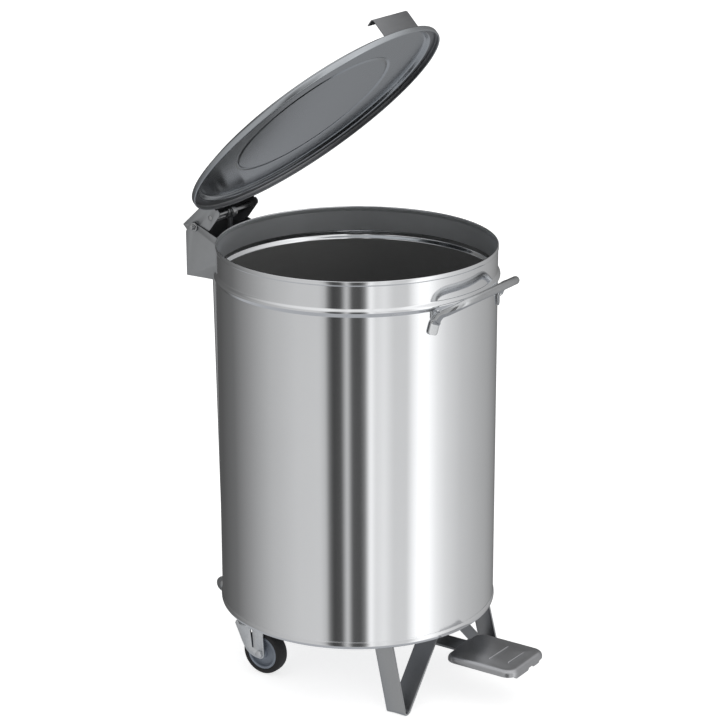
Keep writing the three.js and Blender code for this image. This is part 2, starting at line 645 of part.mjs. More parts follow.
for (const [side, s] of [['left', -1], ['right', 1]]) {
  const x = s * WHEEL_X;
  add(`swivel_head_${side}`, swivelHead(x), ZINC);
  add(`king_bolt_${side}`, kingBolt(x), ZINC);
  add(`king_nut_${side}`, kingNut(x), ZINC);
  add(`fork_${side}`, fork(x), ZINC);
  add(`axle_bolt_${side}`, hexBolt(x, s), ZINC);
  add(`axle_nut_${side}`, axleNut(x, s), ZINC);
  add(`axle_sleeve_${side}`, axleSleeve(x), ZINC);
  add(`wheel_hub_${side}`, wheelHub(x), HUB);
  add(`tyre_${side}`, tyre(x), RUBBER);
}

export default bin;
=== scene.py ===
# A round satin-steel pedal bin on two V feet and two casters, standing with its lid open.
from math import atan2, cos, hypot, pi, radians, sin, sqrt

import bmesh
import bpy
from mathutils import Matrix, Vector


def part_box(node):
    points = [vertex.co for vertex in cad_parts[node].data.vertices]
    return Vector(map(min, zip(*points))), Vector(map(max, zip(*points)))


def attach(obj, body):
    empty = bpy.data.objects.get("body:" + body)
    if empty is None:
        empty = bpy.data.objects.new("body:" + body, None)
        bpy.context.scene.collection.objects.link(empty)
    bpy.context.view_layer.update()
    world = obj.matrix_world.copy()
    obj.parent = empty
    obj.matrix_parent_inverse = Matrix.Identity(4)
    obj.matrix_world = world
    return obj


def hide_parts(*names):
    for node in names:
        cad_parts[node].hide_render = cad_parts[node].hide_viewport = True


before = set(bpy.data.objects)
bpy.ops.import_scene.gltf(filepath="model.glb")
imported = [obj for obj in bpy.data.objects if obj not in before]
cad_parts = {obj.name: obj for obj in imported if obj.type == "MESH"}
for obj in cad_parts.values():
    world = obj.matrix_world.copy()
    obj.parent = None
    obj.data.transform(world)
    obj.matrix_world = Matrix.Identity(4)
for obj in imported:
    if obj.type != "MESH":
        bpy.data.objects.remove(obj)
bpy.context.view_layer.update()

MM = 0.001
LOW, HIGH = (Vector(c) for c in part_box("body_shell"))
AXIS_Y = (LOW.y + HIGH.y) / 2 / MM  # the body's axis, in millimetres along Y
BODY_R = 229.5
RIM_Z = 738.0
RING_Z = 120.0
BEAD_Z = 688.0
BEAD_HALF = 7.5  # half the height of the bead round the body
WALL_END = 8.5  # where the plain wall starts, above and below the bead's middle
HINGE_Y, HINGE_Z = 288.5, 733.0
LID_OPEN = radians(42.9)
# Faces within these bounds that look into the hinge bracket or the lid arm get painted shade.
BRACKET_INSIDE, BRACKET_BACK = 57.0, 305.5  # faces within these can look into the hinge bracket
ARM_INSIDE = 53.5  # the same for the lid arm
ROUND = 256  # steps round the body and the lid

# ---------------------------------------------------------------- materials


def material(name, color, roughness, metallic=1.0):
    mat = bpy.data.materials.new(name)
    mat.use_nodes = True
    shader = mat.node_tree.nodes["Principled BSDF"]
    shader.inputs["Base Color"].default_value = (*color, 1)
    shader.inputs["Roughness"].default_value = roughness
    shader.inputs["Metallic"].default_value = metallic
    return mat, mat.node_tree, shader


def add(tree, kind, **settings):
    node = tree.nodes.new(kind)
    for key, value in settings.items():
        if key in node.inputs:
            node.inputs[key].default_value = value
        else:
            setattr(node, key, value)
    return node


def mapped_noise(tree, scale, noise_scale, detail=3.0, roughness=0.6):
    """Noise stretched by its own scale along each axis, in object space."""
    place = add(tree, "ShaderNodeTexCoord")
    mapping = add(tree, "ShaderNodeMapping")
    mapping.inputs["Scale"].default_value = scale
    noise = add(tree, "ShaderNodeTexNoise", Scale=noise_scale, Detail=detail, Roughness=roughness)
    tree.links.new(place.outputs["Object"], mapping.inputs["Vector"])
    tree.links.new(mapping.outputs["Vector"], noise.inputs["Vector"])
    return noise


def ranged(tree, source, low, high, start=0.3, stop=0.7):
    node = add(tree, "ShaderNodeMapRange")
    node.inputs["From Min"].default_value = start
    node.inputs["From Max"].default_value = stop
    node.inputs["To Min"].default_value = low
    node.inputs["To Max"].default_value = high
    tree.links.new(source, node.inputs["Value"])
    return node.outputs["Result"]


def tinted(tree, source, dark, light):
    mix = add(tree, "ShaderNodeMix", data_type="RGBA")
    mix.inputs["A"].default_value = (*dark, 1)
    mix.inputs["B"].default_value = (*light, 1)
    tree.links.new(source, mix.inputs["Factor"])
    return mix.outputs["Result"]


def bumped(tree, shader, source, strength, distance):
    bump = add(tree, "ShaderNodeBump", Strength=strength, Distance=distance)
    tree.links.new(source, bump.inputs["Height"])
    tree.links.new(bump.outputs["Normal"], shader.inputs["Normal"])


def steel(name, color, roughness, grain=(1, 1, 1), spread=0.05, streak=0.06, bump=0.0, noise=60,
          metallic=1.0):
    """Rolled or brushed sheet: fine streaks along the grain and slow patches across it."""
    mat, tree, shader = material(name, color, roughness, metallic)
    fine = mapped_noise(tree, grain, noise, detail=4)
    slow = mapped_noise(tree, (1, 1, 1), 7.0, detail=2)
    mixed = add(tree, "ShaderNodeMath", operation="MULTIPLY_ADD")
    tree.links.new(slow.outputs["Fac"], mixed.inputs[0])
    mixed.inputs[1].default_value = 0.35
    scaled = add(tree, "ShaderNodeMath", operation="MULTIPLY")
    tree.links.new(fine.outputs["Fac"], scaled.inputs[0])
    scaled.inputs[1].default_value = 0.65
    tree.links.new(scaled.outputs[0], mixed.inputs[2])
    tone = ranged(tree, mixed.outputs[0], 0.0, 1.0)
    dark = tuple(c * (1 - streak) for c in color)
    light = tuple(min(c * (1 + streak), 1) for c in color)
    tree.links.new(tinted(tree, tone, dark, light), shader.inputs["Base Color"])
    rough = ranged(tree, mixed.outputs[0], roughness - spread, roughness + spread)
    tree.links.new(rough, shader.inputs["Roughness"])
    if bump:
        bumped(tree, shader, fine.outputs["Fac"], bump, 0.0002)
    return mat


BODY_STEEL = steel("satin_sheet", (0.88, 0.89, 0.905), 0.085, grain=(1, 1, 70), spread=0.015,
                   streak=0.03, bump=0.02)
# The inside of the body takes two copies of the sheet: a lighter one above the bead, painted light, and a
# darker one below it, painted shade.
RIM_LIT_STEEL = steel("rim_painted_light", (0.70, 0.72, 0.74), 0.3, grain=(1, 1, 3), spread=0.015,
                  streak=0.03, noise=20, metallic=0.7)
INNER_SHADE_STEEL = steel("inner_painted_shade", (0.30, 0.30, 0.30), 0.36, grain=(1, 1, 60), streak=0.1, metallic=0.55)
LID_STEEL = steel("lid_sheet", (0.50, 0.525, 0.55), 0.2, grain=(60, 1, 1), spread=0.02, streak=0.04)
BAR_STEEL = steel("polished_bar", (0.58, 0.59, 0.60), 0.16, grain=(4, 4, 4), spread=0.03, noise=90)
STRAP_STEEL = steel("strap_steel", (0.50, 0.51, 0.52), 0.33, grain=(1, 8, 8), spread=0.06, noise=40)
# A darker copy of the strap steel, painted shade: the feet's inward faces, the inside of the lid's skirt
# and the lid grip.
STRAP_SHADE = steel("strap_painted_shade", (0.30, 0.305, 0.315), 0.42, grain=(1, 8, 8), spread=0.06, noise=40)
# A very dark copy of the steel, painted shade: the pedal lever and the right foot's inner leg.
DEEP_SHADE_STEEL = steel("deep_painted_shade", (0.24, 0.245, 0.25), 0.4, grain=(8, 1, 8), spread=0.06, noise=40)
BRACKET_STEEL = steel("bracket_steel", (0.40, 0.41, 0.42), 0.32, grain=(30, 1, 1), spread=0.05)
# A darker copy of the bracket steel, painted shade for the faces inside the bracket's and the lid arm's
# channels.
BRACKET_SHADE = steel("bracket_painted_shade", (0.15, 0.15, 0.155), 0.5, grain=(30, 1, 1), spread=0.06)
PEDAL_STEEL = steel("pedal_steel", (0.50, 0.505, 0.52), 0.3, grain=(3, 1, 1), spread=0.03, streak=0.04,
                    noise=25)
ROD_STEEL = steel("drawn_rod", (0.46, 0.465, 0.47), 0.32, grain=(1, 1, 6), noise=120)
ZINC = steel("zinc_plate", (0.76, 0.78, 0.80), 0.33, grain=(3, 3, 3), spread=0.08, streak=0.12, noise=70)


def plastic(name, color, roughness, noise, bump):
    mat, tree, shader = material(name, color, roughness, metallic=0.0)
    grain = mapped_noise(tree, (1, 1, 1), noise, detail=3)
    slow = mapped_noise(tree, (1, 1, 1), 25.0, detail=2)
    tone = ranged(tree, slow.outputs["Fac"], 0.0, 1.0)
    dark = tuple(c * 0.85 for c in color)
    light = tuple(c * 1.15 for c in color)
    tree.links.new(tinted(tree, tone, dark, light), shader.inputs["Base Color"])
    rough = ranged(tree, slow.outputs["Fac"], roughness - 0.06, roughness + 0.06)
    tree.links.new(rough, shader.inputs["Roughness"])
    bumped(tree, shader, grain.outputs["Fac"], bump, 0.0003)
    return mat


HUB_PLASTIC = plastic("hub_plastic", (0.17, 0.195, 0.235), 0.45, 900, 0.15)
TYRE_RUBBER = plastic("tyre_rubber", (0.012, 0.012, 0.013), 0.7, 700, 0.3)

# ---------------------------------------------------------------- mesh building


def piece(name, verts, faces, mat, body, replaces=(), sharp=32.0, smooth=True):
    """A mesh from points in millimetres, with Y counted from the body's axis."""
    mesh = bpy.data.meshes.new(name)
    mesh.from_pydata([(x * MM, (y + AXIS_Y) * MM, z * MM) for x, y, z in verts], [], faces)
    return finish(name, mesh, mat, body, replaces, sharp, smooth)


def finish(name, mesh, mat, body, replaces=(), sharp=32.0, smooth=True):
    bm = bmesh.new()
    bm.from_mesh(mesh)
    bmesh.ops.recalc_face_normals(bm, faces=bm.faces)
    bm.to_mesh(mesh)
    bm.free()
    mats = mat if isinstance(mat, (list, tuple)) else [mat]
    mesh.materials.clear()
    for m in mats:
        mesh.materials.append(m)
    for poly in mesh.polygons:
        poly.use_smooth = smooth
    mesh.set_sharp_from_angle(angle=radians(sharp))
    obj = bpy.data.objects.new(name, mesh)
    bpy.context.scene.collection.objects.link(obj)
    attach(obj, body)
    if replaces:
        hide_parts(*replaces)
    return obj


def turned(profile, steps=ROUND, closed=True):
    """Verts and faces of a closed profile of (radius, z) turned about the Z axis."""
    count = len(profile)
    verts = []
    for k in range(steps):
        turn = 2 * pi * k / steps
        verts += [(r * sin(turn), -r * cos(turn), z) for r, z in profile]
    faces = []
    for k in range(steps):
        a, b = k * count, ((k + 1) % steps) * count
        for i in range(count if closed else count - 1):
            j = (i + 1) % count
            faces.append((a + i, b + i, b + j, a + j))
    return verts, faces


def capped(profile, steps=ROUND):
    """The same for a profile that starts and ends on the axis: its two poles become single points."""
    inner = profile[1:-1]
    verts, faces = turned(inner, steps, closed=False)
    count = len(inner)
    start, end = len(verts), len(verts) + 1
    verts = verts + [(0, 0, profile[0][1]), (0, 0, profile[-1][1])]
    for k in range(steps):
        a, b = k * count, ((k + 1) % steps) * count
        faces.append((a, b, start))
        faces.append((a + count - 1, b + count - 1, end))
    return verts, faces


def arc(cx, cy, r, start, stop, steps):
    """Points on an arc, angles in degrees."""
    out = []
    for i in range(steps + 1):
        turn = radians(start + (stop - start) * i / steps)
        out.append((cx + r * cos(turn), cy + r * sin(turn)))
    return out


def about_hinge(verts):
    """Points drawn with the lid closed, moved to the lid's open place."""
    c, s = cos(LID_OPEN), sin(LID_OPEN)
    out = []
    for x, y, z in verts:
        dy, dz = y - HINGE_Y, z - HINGE_Z
        out.append((x, HINGE_Y + dy * c + dz * s, HINGE_Z - dy * s + dz * c))
    return out


def refined(node, mat, body, bevel=0.5, segments=2, name=None, angle=28.0, sharp=40.0,
            shaded=None):
    """The CAD node's own shape with its edges broken, as a new mesh that stands for it.

    shaded(center, normal) picks the faces that take the second material, the darker copy painted as shade."""
    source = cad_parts[node].data
    bm = bmesh.new()
    bm.from_mesh(source)
    bmesh.ops.remove_doubles(bm, verts=bm.verts, dist=2e-6)
    bmesh.ops.dissolve_limit(bm, angle_limit=radians(1.0), verts=bm.verts, edges=bm.edges)
    edges = [e for e in bm.edges if len(e.link_faces) == 2 and e.calc_face_angle(0) > radians(angle)]
    bmesh.ops.bevel(bm, geom=edges, offset=bevel * MM, segments=segments, profile=0.5,
                    affect="EDGES", clamp_overlap=True)
    mesh = bpy.data.meshes.new(name or f"{node}_fine")
    bm.to_mesh(mesh)
    bm.free()
    obj = finish(mesh.name, mesh, mat, body, (node,), sharp)
    if shaded:
        for poly in obj.data.polygons:
            poly.material_index = 1 if shaded(poly.center / MM, poly.normal) else 0
    return obj


# ---------------------------------------------------------------- body and bottom


def bead_points(radius, rise=4.0, half=BEAD_HALF, steps=14):
    out = []
    for i in range(steps + 1):
        dz = half * (2 * i / steps - 1)
        out.append((radius + rise * (0.5 + 0.5 * cos(pi * dz / half)) ** 0.8, BEAD_Z + dz))
    return out


def make_body():
    inner = BODY_R - 1.0
    low = RING_Z + 1.4
    hem = [(BODY_R, RIM_Z - 8), (BODY_R + 0.5, RIM_Z - 7.4), (BODY_R + 0.8, RIM_Z - 6.6)]
    hem += arc(BODY_R - 0.4, RIM_Z - 1.2, 1.2, 0, 180, 8)
    hem += [(inner - 0.6, RIM_Z - 6.6), (inner - 0.3, RIM_Z - 7.4), (inner, RIM_Z - 8)]
    # Short steps beside each bend keep the long walls flat in shading.
    outside = [(BODY_R, low), (BODY_R, low + 1), (BODY_R, BEAD_Z - WALL_END)] + bead_points(BODY_R)
    outside += [(BODY_R, BEAD_Z + WALL_END), (BODY_R, RIM_Z - 8.7)] + hem[:-3]
    inside = hem[-3:] + [(inner, RIM_Z - 8.7), (inner, BEAD_Z + WALL_END)] + bead_points(inner)[::-1]
    profile = outside + inside + [(inner, BEAD_Z - WALL_END), (inner, low + 1), (inner, low)]
    verts, faces = turned(profile)
    obj = piece("bin_body", verts, faces, [BODY_STEEL, INNER_SHADE_STEEL, RIM_LIT_STEEL], "bin",
                ("body_shell",))
    # Inside faces below the bead get the darker copy (painted shade) and those above it the lighter copy
    # (painted light); the bead and the top of the rim keep the outer steel.
    for poly in obj.data.polygons:
        c = poly.center
        toward = Vector((c.x, c.y - AXIS_Y * MM, 0)).dot(poly.normal)
        top = c.z > (RIM_Z - 3) * MM
        if toward < 0 and not top:
            above = c.z / MM - BEAD_Z
            poly.material_index = 1 if above < -BEAD_HALF else 0 if above < BEAD_HALF else 2


def make_pan():
    top = RING_Z + 12.5
    plate = RING_Z + 12.0
    r_in, r_out = BODY_R - 2.9, BODY_R + 0.3
    profile = [(r_in - 3, plate), (r_in - 0.9, plate - 0.9), (r_in, plate - 3)]
    profile += [(r_in, RING_Z + 1.5)] + arc(r_in + 1.5, RING_Z + 1.5, 1.5, 180, 270, 5)[1:]
    roll = [(max(r_out + 1.3 - 2.6 * (1 - sin(a)), r_out - 0.2 if a > 0.6 else 0),
             RING_Z + 6.3 - 6.3 * cos(a)) for a in (radians(15 + 150 * i / 16) for i in range(17))]
    profile += [(r_out - 1.5, RING_Z)] + roll + [(r_out, top)]
    profile += [(r_out - 0.1, RING_Z + 1.05), (r_in + 1, RING_Z + 1.05), (r_in + 1, plate - 3)]
    profile += [(r_in - 0.2, plate + 0.2), (r_in - 3, plate + 1)]
    profile = [(0, plate)] + profile + [(0, plate + 1)]
    verts, faces = capped(profile)
    piece("bin_bottom", verts, faces, BODY_STEEL, "bin", ("bottom_pan",))


# ---------------------------------------------------------------- lid


def make_lid():
    t = 1.2
    radius, flange, panel = 239.6, RIM_Z + 1.7, 746.0
    low = flange - 10
    outside = [(radius - 1.7, low)] + arc(radius - 1.2, low + 1.2, 1.2, 270, 360, 5)[1:]
    outside += arc(radius - 3.0, flange - 3.0, 3.0, 0, 90, 6)
    outside += [(227.0, flange), (225.4, flange + 0.3), (224.2, flange + 1.2), (222.4, panel - 2.0)]
    outside += [(221.2, panel - 0.7), (219.6, panel - 0.1), (218.0, panel)]
    bead = [(146.5 + 4.5 * (1 - i / 5), 1.4 * (0.5 - 0.5 * cos(pi * i / 5))) for i in range(11)]
    outside += [(216.5, panel), (152.5, panel)] + [(r, panel + dz) for r, dz in bead] + [(140.5, panel)]
    inside = [(140.5, panel - t)] + [(r, panel - t + dz) for r, dz in bead][::-1]
    inside += [(152.5, panel - t), (216.2, panel - t), (217.6, panel - t)]
    inside += [(219.0, panel - t - 0.1), (220.2, panel - t - 0.8)]
    inside += [(221.3, panel - t - 1.9), (223.2, flange + 0.2), (224.6, flange - 0.8), (226.4, flange - t)]
    inside += arc(radius - 3.2, flange - 3.2, 2.0, 90, 0, 5)
    inside += [(radius - 1.25, low + 3.2), (radius - 1.5, low + 2.5), (radius - 2.6, low + 2.3)]
    inside += [(radius - 3.3, low + 1.6), (radius - 3.2, low + 0.7), (radius - 2.5, low + 0.1)]
    profile = [(0, panel)] + outside[::-1] + inside[::-1] + [(0, panel - t)]
    verts, faces = capped(profile)
    obj = piece("lid_dish", about_hinge(verts), faces, [LID_STEEL, STRAP_SHADE], "lid",
                ("lid_panel",))
    # The inner faces of the skirt take the darker strap steel: painted shade.
    body = profile[1:-1]
    walls = [i for i in range(len(outside), len(body) - 1) if min(body[i][0], body[i + 1][0]) > 226]
    for k in range(ROUND):
        for i in walls:
            obj.data.polygons[k * (len(body) - 1) + i].material_index = 1


# ---------------------------------------------------------------- handle


def swept(path, ring_of, side_of):
    """A bar through the points of path; ring_of(i) lists the section, side_of(i) its first axis."""
    verts, faces = [], []
    last = len(path) - 1
    count = len(ring_of(0))
    for i, at in enumerate(path):
        tangent = (path[min(i + 1, last)] - path[max(i - 1, 0)]).normalized()
        side = side_of(i)
        side = (side - tangent * side.dot(tangent)).normalized()
        up = tangent.cross(side).normalized()
        verts += [tuple(at + side * a + up * b) for a, b in ring_of(i)]
    for i in range(last):
        for k in range(count):
            a, b = i * count + k, i * count + (k + 1) % count
            faces.append((a, b, b + count, a + count))
    faces.append(tuple(range(count))[::-1])
    faces.append(tuple(range(last * count, last * count + count)))
    return verts, faces


def smoothstep(v, low, high):
    t = min(max((v - low) / (high - low), 0), 1)
    return t * t * (3 - 2 * t)


def spline(points, steps):
    """Centripetal Catmull-Rom through the points, resampled at equal steps."""
    ends = [points[0] * 2 - points[1]] + points + [points[-1] * 2 - points[-2]]
    fine = []
    for p0, p1, p2, p3 in zip(ends, ends[1:], ends[2:], ends[3:]):
        knots = [0.0]
        for a, b in ((p0, p1), (p1, p2), (p2, p3)):
            knots.append(knots[-1] + sqrt((b - a).length))
        t0, t1, t2, t3 = knots
        for i in range(24):
            t = t1 + (t2 - t1) * i / 24
            a1 = p0 * ((t1 - t) / (t1 - t0)) + p1 * ((t - t0) / (t1 - t0))
            a2 = p1 * ((t2 - t) / (t2 - t1)) + p2 * ((t - t1) / (t2 - t1))
            a3 = p2 * ((t3 - t) / (t3 - t2)) + p3 * ((t - t2) / (t3 - t2))
            b1 = a1 * ((t2 - t) / (t2 - t0)) + a2 * ((t - t0) / (t2 - t0))
            b2 = a2 * ((t3 - t) / (t3 - t1)) + a3 * ((t - t1) / (t3 - t1))
            fine.append(b1 * ((t2 - t) / (t2 - t1)) + b2 * ((t - t1) / (t2 - t1)))
    fine.append(points[-1])
    walked = [0.0]
    for a, b in zip(fine, fine[1:]):
        walked.append(walked[-1] + (b - a).length)
    out, j = [], 0
    for i in range(steps + 1):
        goal = walked[-1] * i / steps
        while j < len(fine) - 2 and walked[j + 1] < goal:
            j += 1
        part = (goal - walked[j]) / (walked[j + 1] - walked[j])
        out.append(fine[j].lerp(fine[j + 1], min(max(part, 0), 1)))
    return out, walked[-1]


def superellipse(wide, deep, power, steps=28):
    out = []
    for i in range(steps):
        turn = 2 * pi * i / steps
        c, s = cos(turn), sin(turn)
        a = abs(c) ** (2 / power) * (1 if c >= 0 else -1)
        b = abs(s) ** (2 / power) * (1 if s >= 0 else -1)
        out.append((wide * a, deep * b))
    return out


def make_handle():
    tilt = radians(30)
    wall = -sqrt(BODY_R ** 2 - 95 ** 2)

    def foot(x, z, off):
        reach = BODY_R + off
        return Vector((x, -sqrt(reach ** 2 - x ** 2), z))

    def bow(x, out):
        return Vector((x, wall - 4 - out * cos(tilt), 672 + out * sin(tilt)))

    half = [foot(-101, 643, 2.4), foot(-98.6, 652, 2.4), foot(-96, 662, 2.9), bow(-94.5, 8), bow(-93.5, 22),
            bow(-88, 37), bow(-76, 47), bow(-58, 52), bow(-30, 54)]
    points = half + [bow(0, 54.5)] + [Vector((-p.x, p.y, p.z)) for p in half[::-1]]
    steps = 220
    path, length = spline(points, steps)
    lean = Vector((0, sin(tilt), cos(tilt)))

    def roundness(i):
        return smoothstep(min(i, steps - i) * length / steps, 17, 27)

    def ring(i):
        f = roundness(i)
        end = min(i, steps - i) * length / steps
        wide = 9 + (6.8 - 9) * f
        if end < 6:
            wide *= 0.62 + 0.38 * sqrt(max(0.0, 1 - (1 - end / 6) ** 2))
        return superellipse(wide, 1.5 + 5.3 * f, 5 + (2 - 5) * f)

    def side(i):
        at = path[i]
        tangent = (path[min(i + 1, steps)] - path[max(i - 1, 0)]).normalized()
        outward = Vector((at.x, at.y, 0)).normalized()
        return outward.cross(tangent).lerp(lean, roundness(i))

    verts, faces = swept(path, ring, side)
    kept = []
    for x, y, z in verts:
        reach = hypot(x, y)
        limit = BODY_R + 0.35
        scale = limit / reach if reach < limit else 1.0
        kept.append((x * scale, y * scale, z))
    piece("carry_handle", kept, faces, BAR_STEEL, "bin", ("front_handle",), sharp=50)


# ---------------------------------------------------------------- feet


def make_foot(side, s):
    weld, thick, wide = 129.7, 4.0, 36.0
    corners = [((112, -145, weld), 0), ((144.4, -145.2, weld), 6), ((147.7, -175.5, 2.0), 9),
               ((136.6, -175.5, 2.0), 9), ((13.5, -168.2, weld), 9), ((2, -168, weld), 0)]
    path = []
    for i, (at, r) in enumerate(corners):
        here = Vector(at)
        if not r:
            path.append(here)
            continue
        back = (Vector(corners[i - 1][0]) - here)
        ahead = (Vector(corners[i + 1][0]) - here)
        reach = min(r, back.length * 0.48, ahead.length * 0.48)
        a, b = here + back.normalized() * reach, here + ahead.normalized() * reach
        for k in range(9):
            t = k / 8
            path.append(a * (1 - t) ** 2 + here * 2 * t * (1 - t) + b * t ** 2)
    path = [Vector((s * p.x, p.y, p.z)) for p in path]
    ring = superellipse(wide / 2, thick / 2, 9, 32)
    verts, faces = swept(path, lambda i: ring, lambda i: Vector((0, 1, 0)))
    verts = [(x, y, max(z, 0.0)) for x, y, z in verts]
    obj = piece(f"foot_strap_{side}", verts, faces, [STRAP_STEEL, STRAP_SHADE, DEEP_SHADE_STEEL], "bin",
                (f"front_foot_{side}",), sharp=35)
    # Inward faces take the darker strap steel and the right foot's inner leg the darkest steel: both
    # painted shade.
    middle = Vector((s * 105, -160, 70)) + Vector((0, AXIS_Y, 0))
    for poly in obj.data.polygons:
        inward = (middle - poly.center / MM).dot(poly.normal) > 0
        under = s > 0 and poly.center.x / MM < 128
        poly.material_index = 2 if under else 1 if inward and abs(poly.normal.y) < 0.4 else 0


# ---------------------------------------------------------------- pedal


def rounded(half, front, back, radius, steps=12):
    """A rounded rectangle's points, evenly spread along its sides, all rings with the same count."""
    out = []
    corners = [((half - radius, back - radius), 0), ((-half + radius, back - radius), 90),
               ((-half + radius, front + radius), 180), ((half - radius, front + radius), 270)]
    for k, ((cx, cy), start) in enumerate(corners):
        out += arc(cx, cy, radius, start, start + 90, steps)
        (nx, ny), turn = corners[(k + 1) % 4]
        a = Vector(out[-1])
        b = Vector((nx + radius * cos(radians(turn)), ny + radius * sin(radians(turn))))
        out += [tuple(a.lerp(b, i / 40)) for i in range(1, 40)]
    return out


def make_pedal():
    half, front, back, top, depth, roll, sheet = 56.0, -338.5, -207.5, 78.6, 10.5, 7.5, 1.7

    def level(x, y, drop):
        """Height of a skirt point; the lip has two tabs in front and opens behind for the lever."""
        near = 1 - smoothstep(y, front + 3, front + 9)
        tab = max(smoothstep(x, -45, -42) * (1 - smoothstep(x, -4, -1)),
                  smoothstep(x, 11, 13) * (1 - smoothstep(x, 31, 33)))
        lower = 3.6 * near * tab * smoothstep(drop, roll, depth)
        behind = smoothstep(y, back - 12, back - 7)
        opened = 1 - 0.82 * behind * (1 - smoothstep(abs(x), 21, 25))
        return top - drop * opened - lower

    def crown(inset):
        return 1.1 * smoothstep(inset, roll, 40)

    outer = [(0.0, depth), (0.0, (depth + roll) / 2)]
    outer += [(roll * (1 - cos(a)), roll * (1 - sin(a))) for a in (pi / 2 * i / 8 for i in range(9))]
    outer += [(i, 0.0) for i in (11, 17, 25, 34, 43)]
    rings = []
    for inset, drop in outer:
        points = rounded(half - inset, front + inset, back - inset, max(20 - inset * 0.9, 4))
        rings.append([(x, y, level(x, y, drop) + crown(inset)) for x, y in points])
    skin = len(rings)
    for inset, drop in outer[::-1]:
        shift = min(sheet + inset, 44.5)
        points = rounded(half - shift, front + shift, back - shift, max(18.3 - inset * 0.9, 3))
        lift = sheet * min(inset / roll, 1)
        rings.append([(x, y, max(level(x, y, drop) + crown(inset) - lift, 60)) for x, y in points])
    count = len(rings[0])
    verts = [p for ring in rings for p in ring]
    faces = []
    for k in range(len(rings)):
        nxt = (k + 1) % len(rings)
        if k == skin - 1:
            continue
        for i in range(count):
            j = (i + 1) % count
            faces.append((k * count + i, k * count + j, nxt * count + j, nxt * count + i))
    faces.append(tuple(range((skin - 1) * count, skin * count)))
    faces.append(tuple(range(skin * count, (skin + 1) * count))[::-1])
    piece("pedal_pressing", verts, faces, PEDAL_STEEL, "pedal", ("pedal_plate",), sharp=50)
    for k, (y, reach) in enumerate(((-279.5, 29), (-312.5, 24))):
        path = [Vector((reach * cos(pi * i / 32), y - 0.03 * reach * cos(pi * i / 32),
                        top + 0.5 + 0.9 * sin(pi * i / 32) ** 0.5)) for i in range(33)]
        verts, faces = swept(path, lambda i: superellipse(1.8 * max(sin(pi * i / 32), 0.12) ** 0.4,
                                                          1.3, 2, 16), lambda i: Vector((0, 1, 0)))
        piece(f"pedal_rib_{k + 1}", verts, faces, PEDAL_STEEL, "pedal", sharp=60)


# ---------------------------------------------------------------- wheels

WHEEL_X, WHEEL_Y, WHEEL_R = 135.0, 97.0, 38.5


def on_axle(verts, x):
    """Points turned about Z, laid on the wheel's axle instead."""
    return [(x + z, WHEEL_Y + px, WHEEL_R + py) for px, py, z in verts]


def make_wheel(side, s):
    x = s * WHEEL_X
    half = 12.1
    tread = [(29.2, -11.2), (31.2, -11.9), (34.2, -half), (36.2, -11.3), (37.6, -9.4), (38.3, -6.4)]
    tread += [(WHEEL_R, -3)]
    profile = tread + [(r, -z) for r, z in tread[::-1]]
    verts, faces = turned(profile, 96)
    piece(f"tyre_{side}_fine", on_axle(verts, x), faces, TYRE_RUBBER, f"wheel_{side}",
          (f"tyre_{side}",))
    rim = [(6.4, -13.1), (8.6, -13.1), (9.4, -12.4), (10.2, -7.5), (11.4, -6.2), (22.2, -5.2), (23.6, -6.4),
           (24.6, -10.6), (25.4, -11.3), (28.3, -11.3), (28.9, -10.8)]
    profile = rim + [(r, -z) for r, z in rim[::-1]]
    verts, faces = turned(profile, 96)
    piece(f"hub_{side}_fine", on_axle(verts, x), faces, HUB_PLASTIC, f"wheel_{side}",
          (f"wheel_hub_{side}",))


# ---------------------------------------------------------------- the object


def inside_channel(center, normal, half, back):
    """Whether a face of the hinge bracket looks into its channel and so takes the painted shade."""
    y = center.y - AXIS_Y
    return abs(center.x) < half and y < back and (normal.x * center.x < 0 or normal.y < -0.5)


make_body()
make_pan()
make_lid()
make_handle()
for side, s in (("left", -1), ("right", 1)):
    make_foot(side, s)
    make_wheel(side, s)
    refined(f"fork_{side}", ZINC, f"swivel_{side}", 0.6)
    refined(f"swivel_head_{side}", ZINC, "bin", 0.6)
    for node in ("king_bolt", "king_nut"):
        refined(f"{node}_{side}", ZINC, "bin", 0.5)
    for node in ("axle_bolt", "axle_nut", "axle_sleeve"):
        refined(f"{node}_{side}", ZINC, f"swivel_{side}", 0.35)
# Faces that look into the bracket's and the arm's channels take the darker copy: painted shade.
refined("hinge_bracket", [BRACKET_STEEL, BRACKET_SHADE], "bin", 0.5,
        shaded=lambda c, n: inside_channel(c, n, BRACKET_INSIDE, BRACKET_BACK))
refined("lid_arm", [BRACKET_STEEL, BRACKET_SHADE], "lid", 0.5,
        shaded=lambda c, n: abs(c.x) < ARM_INSIDE and (n.x * c.x < -0.5 or n.z < -0.6))
# The grip takes the darker strap steel: painted shade.
refined("lid_grip", STRAP_SHADE, "lid", 0.5)
for node in ("hinge_pin", "hinge_pin_ring", "lever_pin", "lever_pin_cap"):
    refined(node, ROD_STEEL, "bin", 0.4)
for node in ("link_pin", "link_collar_left", "link_collar_right"):
    refined(node, ROD_STEEL, "lid", 0.4)
refined("pull_rod", ROD_STEEL, "rod", 0.5)
refined("rod_pin", ROD_STEEL, "pedal", 0.4)
refined("rod_pin_cap", ROD_STEEL, "pedal", 0.4)
# The lever takes the darkest steel: painted shade.
refined("pedal_lever", DEEP_SHADE_STEEL, "pedal", 0.6)
make_pedal()
refined("lever_bracket", STRAP_STEEL, "bin", 0.5)
refined("caster_rail", STRAP_STEEL, "bin", 0.5)

# ---------------------------------------------------------------- camera

CAMERA_BEARING = radians(-56)
PICTURE_WIDTH = 720  # pixels across the picture
SENSOR_WIDTH = 36.0


